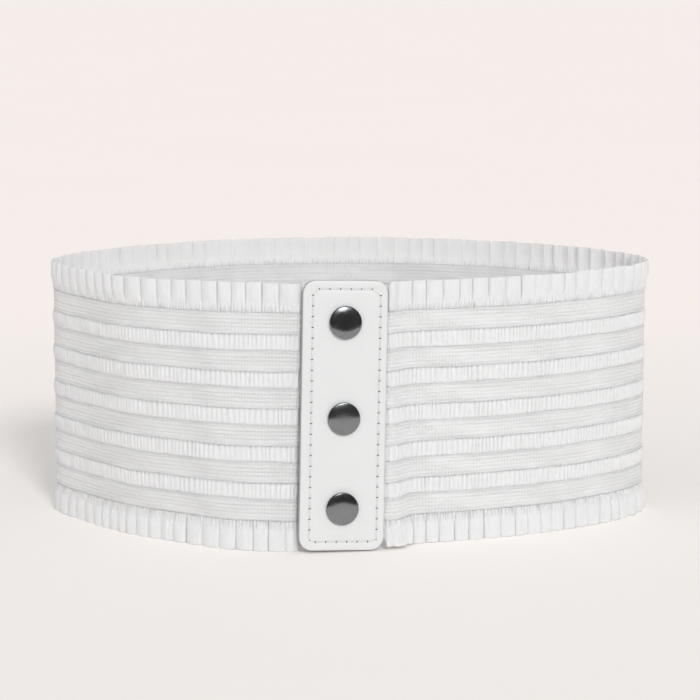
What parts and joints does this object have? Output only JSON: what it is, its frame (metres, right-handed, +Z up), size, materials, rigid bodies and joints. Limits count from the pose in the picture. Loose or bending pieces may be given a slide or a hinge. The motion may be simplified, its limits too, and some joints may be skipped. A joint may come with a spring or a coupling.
{
  "type": "elastic stretch belt",
  "caption": "Wide white elastic belt with gathered stripes and pleated hems, closed as an oval loop by a leatherette tab with a column of round snaps.",
  "frame": {"origin": "middle of the footprint, on the surface that the lower hem stands on", "axes": "+X along the loop's long way, to the right of someone facing the tab; +Y from the tab to the back; +Z up"},
  "size_m": [0.2434, 0.171, 0.1033],
  "materials": {
    "web_fabric": "white woven elastic with gathered stripes, matt",
    "tab_leatherette": "smooth white leatherette, satin",
    "snap_metal": "polished gunmetal"
  },
  "bodies": {
    "root": {"elastic_web": "web_fabric", "outer_tab": "tab_leatherette", "under_tab": "tab_leatherette", "snap_cap_upper": "snap_metal", "snap_cap_middle": "snap_metal", "snap_cap_lower": "snap_metal", "snap_socket_upper": "snap_metal", "snap_socket_middle": "snap_metal", "snap_socket_lower": "snap_metal", "snap_stud_upper": "snap_metal", "snap_stud_middle": "snap_metal", "snap_stud_lower": "snap_metal", "snap_eyelet_upper": "snap_metal", "snap_eyelet_middle": "snap_metal", "snap_eyelet_lower": "snap_metal"}
  },
  "joints": []
}
